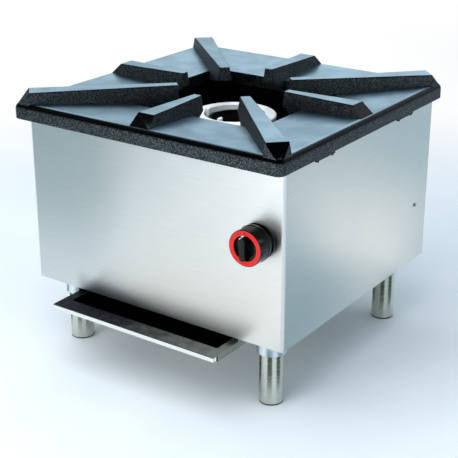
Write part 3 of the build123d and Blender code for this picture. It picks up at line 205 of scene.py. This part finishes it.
def sand_cast_iron(name):
    """Black seasoned iron: sanded smooth and given a slate-blue painted sheen on top, near black with
    painted shade on its slopes, gritty with pale worn specks on its sides.

    Sand grains are about 0.5 mm across. The grit is drawn at 1.8 mm, so that it shows.
    """
    material, tree, shader = blank(name)
    upward = axes(tree, "Normal")["Z"]      # 1 on a level top and 0 on an upright side
    top = add(tree, "MapRange", {"Value": upward, "From Min": 0.80, "From Max": 0.985}, **EASED)[0]
    sloped = add(tree, "MapRange", {"Value": upward, "From Min": 0.18, "From Max": 0.42}, **EASED)[0]
    grit = add(tree, "TexNoise", {"Vector": stretched(tree, 1.8), "Scale": 1.0, "Detail": 3.0,
                                  "Roughness": 0.6})[0]
    patch = add(tree, "TexNoise", {"Vector": stretched(tree, 55), "Scale": 1.0, "Detail": 4.0})[0]
    specks = add(tree, "MapRange", {"Value": grit, "From Min": 0.40, "From Max": 0.78}, **EASED)[0]

    walls = add(tree, "Mix", {"Factor": specks, FIRST: "#202427", SECOND: "#788186"}, **COLOURS)[MIXED]
    # painted shade: sloped faces and round-overs near black
    painted_shade_slopes = add(tree, "Mix", {"Factor": specks, FIRST: "#060708", SECOND: "#181b1d"}, **COLOURS)[MIXED]
    sides = add(tree, "Mix", {"Factor": sloped, FIRST: walls, SECOND: painted_shade_slopes}, **COLOURS)[MIXED]
    clouded = add(tree, "MapRange", {"Value": patch, "From Min": 0.35, "From Max": 0.7}, **EASED)[0]
    # painted sheen: level tops slate blue, as if mirroring a bright window
    painted_sheen_tops = add(tree, "Mix", {"Factor": clouded, FIRST: "#6b8897", SECOND: "#86a3b2"}, **COLOURS)[MIXED]
    worn = add(tree, "Math", {0: specks, 1: 0.4}, operation="MULTIPLY")[0]
    painted_sheen_tops = add(tree, "Mix", {"Factor": worn, FIRST: painted_sheen_tops, SECOND: "#a3b4bc"}, **COLOURS)[MIXED]
    colour = add(tree, "Mix", {"Factor": top, FIRST: sides, SECOND: painted_sheen_tops}, **COLOURS)[MIXED]

    gritty = add(tree, "MapRange", {"Value": grit, "To Min": 0.42, "To Max": 0.6})[0]
    sanded = add(tree, "MapRange", {"Value": patch, "To Min": 0.35, "To Max": 0.45})[0]
    rough = add(tree, "Mix", {"Factor": top, "A": gritty, "B": sanded})[0]
    relief = add(tree, "MapRange", {"Value": top, "To Min": 1.0, "To Max": 0.25})[0]
    relief = add(tree, "Math", {0: grit, 1: relief}, operation="MULTIPLY")[0]
    finish(tree, shader, colour, rough, relief, 0.5, 0.5)
    shader.inputs["Metallic"].default_value = 1.0
    return material


def burnt_iron(name):
    """Cast iron burnt dull brown-black by the flame."""
    material, tree, shader = blank(name)
    grit = add(tree, "TexNoise", {"Vector": stretched(tree, 2.0), "Scale": 1.0, "Detail": 4.0,
                                  "Roughness": 0.65})[0]
    scale = add(tree, "TexNoise", {"Vector": stretched(tree, 24), "Scale": 1.0, "Detail": 3.0})[0]
    browned = add(tree, "MapRange", {"Value": scale, "From Min": 0.4, "From Max": 0.65}, **EASED)[0]
    colour = add(tree, "Mix", {"Factor": browned, FIRST: "#14120f", SECOND: "#2d2a27"}, **COLOURS)[MIXED]
    rough = add(tree, "MapRange", {"Value": grit, "To Min": 0.55, "To Max": 0.75})[0]
    finish(tree, shader, colour, rough, grit, 0.4, 0.4)
    shader.inputs["Metallic"].default_value = 0.8
    return material


def drip_tray_steel(name):
    """Pressed steel tray: dull pale flange with painted shade darker towards the left, a front lip painted
    pale as a highlight, and a pan painted near black as shade.
    """
    material, tree, shader = blank(name)
    x, y, z = axes(tree, "Object")
    _, backward, upward = axes(tree, "Normal")
    cloud = add(tree, "TexNoise", {"Vector": stretched(tree, 22), "Scale": 1.0, "Detail": 3.0})[0]
    mottle = add(tree, "TexNoise", {"Vector": stretched(tree, 9, 2.2, 2.2), "Scale": 1.0, "Detail": 4.0,
                                    "Roughness": 0.65})[0]

    # painted shade: the flange's upward faces darken towards the left, in patches
    painted_shade = add(tree, "Math", {0: x, 1: PAINTED_SHADE_ACROSS}, operation="MULTIPLY")[0]
    patchy = add(tree, "MapRange", {"Value": cloud, "To Min": -PAINTED_SHADE_PATCHY, "To Max": PAINTED_SHADE_PATCHY})[0]
    painted_shade = add(tree, "Math", {0: painted_shade, 1: patchy}, operation="ADD")[0]
    painted_shade = add(tree, "MapRange", {"Value": painted_shade, "From Min": -0.6, "From Max": 0.2}, **EASED)[0]
    top = add(tree, "MapRange", {"Value": upward, "From Min": 0.5, "From Max": 0.9}, **EASED)[0]
    painted_shade = add(tree, "Math", {0: painted_shade, 1: top}, operation="MULTIPLY")[0]
    shade_mottle = add(tree, "MapRange", {"Value": mottle, "From Min": 0.35, "From Max": 0.65}, **EASED)[0]
    clean = add(tree, "Mix", {"Factor": mottle, FIRST: "#aeb1a9", SECOND: "#cccdc3"}, **COLOURS)[MIXED]
    shaded_flange = add(tree, "Mix", {"Factor": shade_mottle, FIRST: "#201e26", SECOND: "#5f5c68"}, **COLOURS)[MIXED]
    flange = add(tree, "Mix", {"Factor": painted_shade, FIRST: clean, SECOND: shaded_flange}, **COLOURS)[MIXED]

    # painted highlight: front-facing faces of the lip pale below the bend
    front = add(tree, "MapRange", {"Value": backward, "From Min": -0.6, "From Max": -0.9}, **EASED)[0]
    bend = add(tree, "MapRange", {"Value": z, "From Min": BEND_FROM, "From Max": BEND_TO}, **EASED)[0]
    painted_lip_highlight = add(tree, "Mix", {"Factor": bend, FIRST: "#e6ebea", SECOND: "#2a2a2e"}, **COLOURS)[MIXED]
    flange = add(tree, "Mix", {"Factor": front, FIRST: flange, SECOND: painted_lip_highlight}, **COLOURS)[MIXED]

    # painted shade: inside the pan, under the cabinet, near black
    shaded_pan = add(tree, "MapRange", {"Value": z, "From Min": PAN_SHADE_FROM, "From Max": PAN_SHADE_TO}, **EASED)[0]
    aside = add(tree, "Math", {0: x}, operation="ABSOLUTE")[0]
    for place, test, limit in ((aside, "LESS_THAN", PAN_HALF), (y, "GREATER_THAN", PAN_FRONT),
                               (y, "LESS_THAN", PAN_REAR), (z, "GREATER_THAN", PAN_FLOOR)):
        within = add(tree, "Math", {0: place, 1: limit}, operation=test)[0]
        shaded_pan = add(tree, "Math", {0: shaded_pan, 1: within}, operation="MULTIPLY")[0]
    colour = add(tree, "Mix", {"Factor": shaded_pan, FIRST: flange, SECOND: "#0c0b0d"}, **COLOURS)[MIXED]

    dull = add(tree, "MapRange", {"Value": mottle, "To Min": 0.40, "To Max": 0.55})[0]
    pan_rough = add(tree, "MapRange", {"Value": mottle, "To Min": 0.6, "To Max": 0.8})[0]
    rough = add(tree, "Mix", {"Factor": shaded_pan, "A": dull, "B": pan_rough})[0]
    finish(tree, shader, colour, rough, mottle, 0.15, 0.2)
    shader.inputs["Metallic"].default_value = 1.0
    return material


def turned_metal(name, dark, light, roughness, metal=1.0):
    """Machined or drawn metal: even colour with a faint cloud in its sheen."""
    material, tree, shader = blank(name)
    cloud = add(tree, "TexNoise", {"Vector": stretched(tree, 6), "Scale": 1.0, "Detail": 4.0})[0]
    colour = add(tree, "ValToRGB", {"Fac": cloud}, stops=((0.3, dark), (0.7, light)))[0]
    rough = add(tree, "MapRange", {"Value": cloud, "To Min": roughness - 0.06,
                                   "To Max": roughness + 0.08})[0]
    finish(tree, shader, colour, rough, cloud, 0.08, 0.1)
    shader.inputs["Metallic"].default_value = metal
    return material


def spangled_zinc(name):
    """Hot-dip galvanised sheet: pale flakes 8 mm across, each at its own tilt."""
    material, tree, shader = blank(name)
    cells = add(tree, "TexVoronoi", {"Vector": stretched(tree, 8), "Scale": 1.0})["Color"]
    flake = add(tree, "SeparateColor", {"Color": cells})["Red"]
    colour = add(tree, "ValToRGB", {"Fac": flake}, stops=((0.0, "#8b9194"), (1.0, "#b9bfc2")))[0]
    rough = add(tree, "MapRange", {"Value": flake, "To Min": 0.38, "To Max": 0.58})[0]
    finish(tree, shader, colour, rough, flake, 0.05, 0.05)
    shader.inputs["Metallic"].default_value = 1.0
    return material


def moulded(name, dark, light, roughness):
    """Moulded plastic, or ink on it: a fine spark-eroded grain that breaks up its highlights.

    The real grain is about 0.1 mm. It is drawn at 0.8 mm, so that it shows.
    """
    material, tree, shader = blank(name)
    skin = add(tree, "TexNoise", {"Vector": stretched(tree, 0.8), "Scale": 1.0, "Detail": 2.0})[0]
    colour = add(tree, "ValToRGB", {"Fac": skin}, stops=((0.3, dark), (0.7, light)))[0]
    rough = add(tree, "MapRange", {"Value": skin, "To Min": roughness - 0.05,
                                   "To Max": roughness + 0.05})[0]
    finish(tree, shader, colour, rough, skin, 0.12, 0.05)
    shader.inputs["IOR"].default_value = 1.5
    shader.inputs["Specular IOR Level"].default_value = 0.25
    return material


def make_finishes():
    """One material for each slot of the record."""
    return {
        "cast_iron": sand_cast_iron("seasoned_cast_iron"),
        "burner_iron": burnt_iron("burnt_cast_iron"),
        "ring_metal": turned_metal("bright_flame_ring", "#f2f1ea", "#fdfdf8", 0.30, 0.15),
        "stainless": brushed_cabinet("brushed_cabinet_steel"),
        "tray_steel": drip_tray_steel("tray_steel_painted_light_and_shade"),
        "leg_steel": satin_tube("satin_leg_tube"),
        "collar_metal": turned_metal("die_cast_collar", "#d6e6ee", "#e8f3f8", 0.40),
        "galvanised": spangled_zinc("galvanised_sheet"),
        "shield_steel": turned_metal("heat_darkened_shield", "#0f0e10", "#2a2625", 0.45),
        "brass": turned_metal("machined_brass", "#a8823f", "#c9a45c", 0.28),
        "pipe_metal": turned_metal("drawn_pipe", "#a5abad", "#c3c8c9", 0.30),
        "fastener": turned_metal("zinc_plated_steel", "#7e8487", "#a5aaac", 0.34),
        "knob_black": moulded("black_phenolic_knob", "#050506", "#0b0b0c", 0.18),
        "knob_red": moulded("red_dial_ring", "#c2140f", "#d4221b", 0.32),
        "foot_black": moulded("black_nylon_foot", "#0a0a0b", "#161617", 0.4),
    }


def dress_nodes(frame, finishes):
    """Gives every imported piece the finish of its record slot."""
    slots = {row["node"]: row["material_slot"] for row in frame["record"]["subparts"]}
    for node, piece in frame["nodes"].items():
        if not piece.data.materials:
            piece.data.materials.append(None)
        for place in piece.material_slots:
            place.material = finishes[slots[node]]


def ease_edges(casting):
    """Takes the sharpness off the casting's edges."""
    joined = casting.modifiers.new("joined", "WELD")
    joined.merge_threshold = JOIN_WITHIN * MM
    eased = casting.modifiers.new("eased_edges", "BEVEL")
    eased.width = EASED_EDGE * MM
    eased.segments = 2
    eased.limit_method = "ANGLE"
    eased.angle_limit = math.radians(EASED_TURN)
    eased.use_clamp_overlap = True
    eased.harden_normals = True


# ---- marks on the control: printed dots and pale strokes of painted highlight ----
def new_piece(name, shape, material):
    """Turns a bmesh into an object at the origin."""
    bmesh.ops.recalc_face_normals(shape, faces=shape.faces)
    mesh = bpy.data.meshes.new(name)
    shape.to_mesh(mesh)
    shape.free()
    mesh.materials.append(material)
    piece = bpy.data.objects.new(name, mesh)
    bpy.context.collection.objects.link(piece)
    return piece


def knob_mark(shape, start, end, width, face_y):
    """A stroke with round ends, from start to end; face_y is the face that it stands on."""
    low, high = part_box("knob_ring")
    axis = Vector((low[0] + high[0], 0, low[2] + high[2])) / 2
    first, last = (axis + Vector((x, 0, z)) * MM + Vector((0, face_y, 0)) for x, z in (start, end))
    beside = (last - first).normalized().cross(Vector((0, -1, 0))) * width * MM / 2
    corners = []
    for centre, side in ((last, beside), (first, -beside)):
        begun = shape.verts.new(centre + side)
        spun = bmesh.ops.spin(shape, geom=[begun], cent=centre, axis=(0, -1, 0), angle=math.pi,
                              steps=ROUND_STEPS)
        corners += [begun, *spun["geom_last"]]
    for ends in ((corners[1], corners[2]), (corners[3], corners[0])):
        shape.edges.new(ends)
    rim = [edge for edge in shape.edges if not edge.link_faces]
    face = bmesh.ops.contextual_create(shape, geom=rim)["faces"]
    raised = bmesh.ops.extrude_face_region(shape, geom=face)["geom"]
    bmesh.ops.translate(shape, verts=[v for v in raised if isinstance(v, bmesh.types.BMVert)],
                        vec=(0, -MARK_DEEP * MM, 0))


def knob_marks():
    """Two pale strokes of painted highlight in the knob's face and two dark printed dots on its red ring.
    """
    ring_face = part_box("knob_ring")[0][1]
    # painted highlight: the pale strokes
    highlight_pale = moulded("pale_highlight_paint", "#f2f2ee", "#fbfbf8", 0.4)
    dark = moulded("dark_pad_print", "#1a0404", "#240606", 0.4)
    for name, marks, face_y, ink in (("knob_highlight_strokes", HIGHLIGHT_STROKES, ring_face + KNOB_FACE * MM, highlight_pale),
                                     ("knob_dots", DOTS, ring_face, dark)):
        shape = bmesh.new()
        for start, end, width in marks:
            knob_mark(shape, start, end, width, face_y)
        piece = new_piece(name, shape, ink)
        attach(piece, "control_knob")


# ---- studio ----
def studio_floor():
    """A pale sweep that keeps the range's soft shadow and pales to white away from it."""
    shape = bmesh.new()
    bmesh.ops.create_grid(shape, x_segments=8, y_segments=8, size=FLOOR_HALF)
    material, tree, shader = blank("painted_floor")
    cloud = add(tree, "TexNoise", {"Vector": stretched(tree, 420), "Scale": 1.0, "Detail": 3.0})[0]
    paint = add(tree, "ValToRGB", {"Fac": cloud}, stops=((0.3, "#e7eaec"), (0.7, "#f0f2f3")))[0]
    tree.links.new(paint, shader.inputs["Base Color"])
    shader.inputs["Roughness"].default_value = 0.8
    shader.inputs["Specular IOR Level"].default_value = 0.1

    place = add(tree, "TexCoord")["Object"]
    away = add(tree, "VectorMath", {0: place}, operation="LENGTH")["Value"]
    tint = add(tree, "VectorMath", {0: place, 1: TINT_WAY}, operation="DOT_PRODUCT")["Value"]
    tint = add(tree, "MapRange", {"Value": tint, "From Min": TINT_FROM, "From Max": TINT_FULL}, **EASED)[0]
    near = add(tree, "MapRange", {"Value": away, "From Min": TINT_ENDS, "From Max": TINT_FADES}, **EASED)[0]
    tint = add(tree, "Math", {0: tint, 1: near}, operation="MULTIPLY")[0]
    white = add(tree, "Mix", {"Factor": tint, FIRST: "#ffffff", SECOND: "#eaf2f7"}, **COLOURS)[MIXED]
    glow = add(tree, "Emission", {"Color": white})["Emission"]
    far = add(tree, "MapRange", {"Value": away, "From Min": LIT_TO, "From Max": WHITE_FROM}, **EASED)[0]
    camera_ray = add(tree, "LightPath")["Is Camera Ray"]
    seen = add(tree, "Math", {0: far, 1: camera_ray}, operation="MULTIPLY")[0]
    sweep = add(tree, "MixShader", {0: seen, 1: shader.outputs["BSDF"], 2: glow})["Shader"]
    tree.links.new(sweep, tree.nodes["Material Output"].inputs["Surface"])
    floor = new_piece("studio_floor", shape, material)


def studio_world():
    """White to the camera, an even cool grey to dull surfaces, and a room with a window to gloss.

    The window is broad and low behind the range, with a dark ceiling over the camera.
    """
    world = bpy.data.worlds.new("studio")
    bpy.context.scene.world = world
    world.use_nodes = True
    tree = world.node_tree
    way = add(tree, "TexCoord")["Generated"]
    height = add(tree, "SeparateXYZ", {"Vector": way})["Z"]
    window = add(tree, "ValToRGB", {"Fac": height}, stops=(
        (0.0, "#565e63"), (0.2, "#5f696f"),         # wall below it
        (0.34, "#f6fbff"), (0.62, "#e2eff8"),       # the window
        (0.82, "#5a666e"), (1.0, "#20262a")))[0]    # ceiling
    room = add(tree, "ValToRGB", {"Fac": height}, stops=(
        (0.0, "#70787a"), (0.25, "#7d8689"),        # wall
        (0.5, "#3c4246"), (0.7, "#16191b"), (1.0, "#20262a")))[0]       # ceiling
    side = add(tree, "VectorMath", {0: way, 1: WINDOW_SIDE}, operation="DOT_PRODUCT")["Value"]
    side = add(tree, "MapRange", {"Value": side, "From Min": WALL_TO, "From Max": GLASS_FROM}, **EASED)[0]
    window = add(tree, "Mix", {"Factor": side, FIRST: "#6f777c", SECOND: window}, **COLOURS)[MIXED]
    rear = add(tree, "VectorMath", {0: way, 1: WINDOW_WAY}, operation="DOT_PRODUCT")["Value"]
    rear = add(tree, "MapRange", {"Value": rear, "From Min": ROOM_TO, "From Max": WINDOW_FROM}, **EASED)[0]
    around = add(tree, "Mix", {"Factor": rear, FIRST: room, SECOND: window}, **COLOURS)[MIXED]

    ray = add(tree, "LightPath")
    gloss, camera = ray["Is Glossy Ray"], ray["Is Camera Ray"]
    around = add(tree, "Mix", {"Factor": gloss, FIRST: "#7c8993", SECOND: around}, **COLOURS)[MIXED]
    seen = add(tree, "Mix", {"Factor": camera, FIRST: around, SECOND: "#ffffff"}, **COLOURS)[MIXED]
    level = add(tree, "MapRange", {"Value": camera, "To Min": WORLD_LEVEL, "To Max": 1.0})[0]
    for name, value in (("Color", seen), ("Strength", level)):
        tree.links.new(value, tree.nodes["Background"].inputs[name])


def softbox(name, place, aim, size, power, colour, in_gloss=True):
    """A lamp behind a rectangular diffuser, width by height in metres."""
    data = bpy.data.lights.new(name, "AREA")
    data.shape = "RECTANGLE"
    data.size, data.size_y = size
    data.energy = power
    data.color = linear(colour)[:3]
    lamp = bpy.data.objects.new(name, data)
    bpy.context.collection.objects.link(lamp)
    lamp.location = place
    lamp.rotation_euler = (Vector(aim) - Vector(place)).to_track_quat("-Z", "Y").to_euler()
    lamp.visible_camera = False
    lamp.visible_glossy = in_gloss


def studio_lamps():
    """A key at the left rear, two softboxes in front, and a bounce and a fill that gloss doesn't show."""
    softbox("key_softbox", (-2.0, 0.9, 2.2), (0, 0, 0.3), (1.4, 1.4), 9, "#fffaf2")
    softbox("front_softbox", (-0.5, -2.1, 0.7), (0.2, -0.3, 0.3), (0.5, 1.1), 6, "#fffdf8")
    softbox("right_strip", (2.3, -1.4, 0.6), (0.2, -0.2, 0.3), (0.25, 1.2), 5, "#fffdf8")
    softbox("ceiling_bounce", (-0.2, -1.4, 3.0), (0.1, -0.5, 0), (3.0, 3.0), 68, "#fafbff", False)
    softbox("front_fill", (-0.3, -2.4, 0.45), (0.1, 0.0, 0.05), (1.8, 0.7), 16, "#fafcff", False)


def reflector(name, corners, colour, level=1.0):
    """A glowing card, lit from within, that only shows in polished surfaces."""
    shape = bmesh.new()
    shape.faces.new([shape.verts.new(corner) for corner in corners])
    material, tree, shader = blank(name)
    shader.inputs["Base Color"].default_value = linear("#000000")
    shader.inputs["Roughness"].default_value = 1.0
    shader.inputs["Specular IOR Level"].default_value = 0.0
    cloud = add(tree, "TexNoise", {"Vector": stretched(tree, 90), "Scale": 1.0, "Detail": 3.0})[0]
    card_glow = add(tree, "Mix", {"Factor": cloud, FIRST: "#f4f4f4", SECOND: "#ffffff"}, **COLOURS)[MIXED]
    tinted = add(tree, "Mix", {"Factor": 1.0, FIRST: colour, SECOND: card_glow}, **COLOURS,
                 blend_type="MULTIPLY")[MIXED]
    tree.links.new(tinted, shader.inputs["Emission Color"])
    shader.inputs["Emission Strength"].default_value = level
    card = new_piece(name, shape, material)
    for ray in ("camera", "diffuse", "transmission", "volume_scatter", "shadow"):
        setattr(card, "visible_" + ray, False)


def upright(x0, y0, x1, y1, top):
    """Corners of a card standing on the floor."""
    return (x0, y0, UPRIGHT_FOOT), (x1, y1, UPRIGHT_FOOT), (x1, y1, top), (x0, y0, top)


def lying(*corners):
    """Corners of a card lying on the floor."""
    return [(x, y, LYING_HEIGHT) for x, y in corners]


def studio_cards():
    """The light and dark areas that the panels and the legs mirror."""
    # left end of the front panel, and the side panel's upper rear, lower front and middle
    reflector("left_card", upright(-1.35, -0.62, -0.49, -0.73, 0.45), "#aec6cf")
    reflector("right_card", upright(1.0, 0.5, 0.65, 1.3, 0.16), "#aecfda")
    reflector("floor_card", lying((0.38, -0.08), (0.62, -0.08), (0.74, 0.40), (0.50, 0.40)), "#94b4c2")
    reflector("side_glow", lying((0.45, 0.48), (0.64, 0.40), (0.90, 0.78), (0.68, 1.05)), "#ffffff", 1.3)
    # lower middle and upper left of the front panel
    reflector("near_glow", lying((-0.42, -0.92), (0.12, -0.92), (0.16, -0.46), (-0.36, -0.46)),
              "#f6f6f5", 1.35)
    reflector("far_shade", lying((-1.5, -1.7), (-0.72, -1.7), (-0.72, -1.05), (-1.5, -1.05)), "#e0e4e6")
    # three round each leg in sight
    for index, (x, y) in enumerate(LEG_PLACES):
        for side, (x0, y0, x1, y1) in LEG_CARDS:
            corners = upright(x + x0, y + y0, x + x1, y + y1, LEG_CARD_TOP)
            reflector("leg_%s_%d" % (side, index), corners, "#465048")


def place_camera():
    """The photograph's view of the range."""
    data = bpy.data.cameras.new("camera")
    data.sensor_width = SENSOR_MM
    data.lens = FOCAL_PIXELS * SENSOR_MM / FRAME_PIXELS
    camera = bpy.data.objects.new("camera", data)
    bpy.context.collection.objects.link(camera)
    camera.location = CAMERA_PLACE
    camera.rotation_euler = (math.pi / 2 - CAMERA_DIP, 0, CAMERA_TURN)
    bpy.context.scene.camera = camera


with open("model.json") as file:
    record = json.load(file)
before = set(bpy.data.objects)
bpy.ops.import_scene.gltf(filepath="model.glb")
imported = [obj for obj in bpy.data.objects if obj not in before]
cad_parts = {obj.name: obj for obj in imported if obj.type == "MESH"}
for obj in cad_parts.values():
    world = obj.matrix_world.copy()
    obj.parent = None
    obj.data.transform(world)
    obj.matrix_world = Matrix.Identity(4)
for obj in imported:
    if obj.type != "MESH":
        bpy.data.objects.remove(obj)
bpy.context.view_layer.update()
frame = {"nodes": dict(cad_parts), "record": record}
bpy.context.scene.view_settings.view_transform = "Standard"
dress_nodes(frame, make_finishes())
ease_edges(frame["nodes"]["cast_top"])
knob_marks()
studio_floor()
studio_world()
studio_lamps()
studio_cards()
place_camera()
